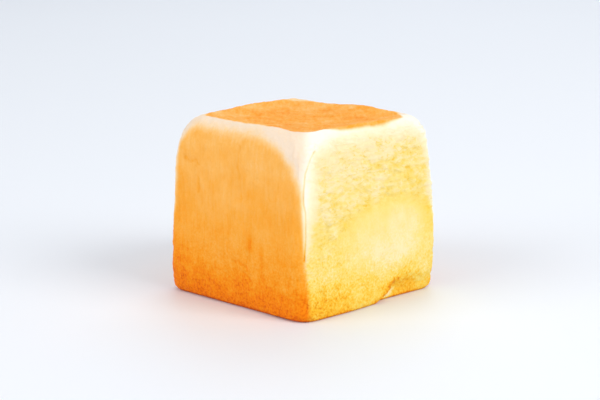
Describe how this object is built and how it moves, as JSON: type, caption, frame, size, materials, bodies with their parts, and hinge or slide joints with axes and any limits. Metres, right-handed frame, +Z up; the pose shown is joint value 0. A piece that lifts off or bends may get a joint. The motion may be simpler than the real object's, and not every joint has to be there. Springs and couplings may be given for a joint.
{
  "type": "tin loaf",
  "caption": "Small square loaf of bread baked in a lidded tin, with golden sides, pale rounded top edges and a slightly sunken browned top.",
  "frame": {"origin": "centre of the flat base, at the middle of the square plan", "axes": "+Z up, the four sides facing along X and Y; the browned side faces -Y and the paler side with the fold faces +X"},
  "size_m": [0.1206, 0.1204, 0.1104],
  "materials": {
    "crust": "matte golden-brown baked crust, finely grained, paler along the rounded top edges"
  },
  "bodies": {
    "root": {"loaf": "crust"}
  },
  "joints": []
}
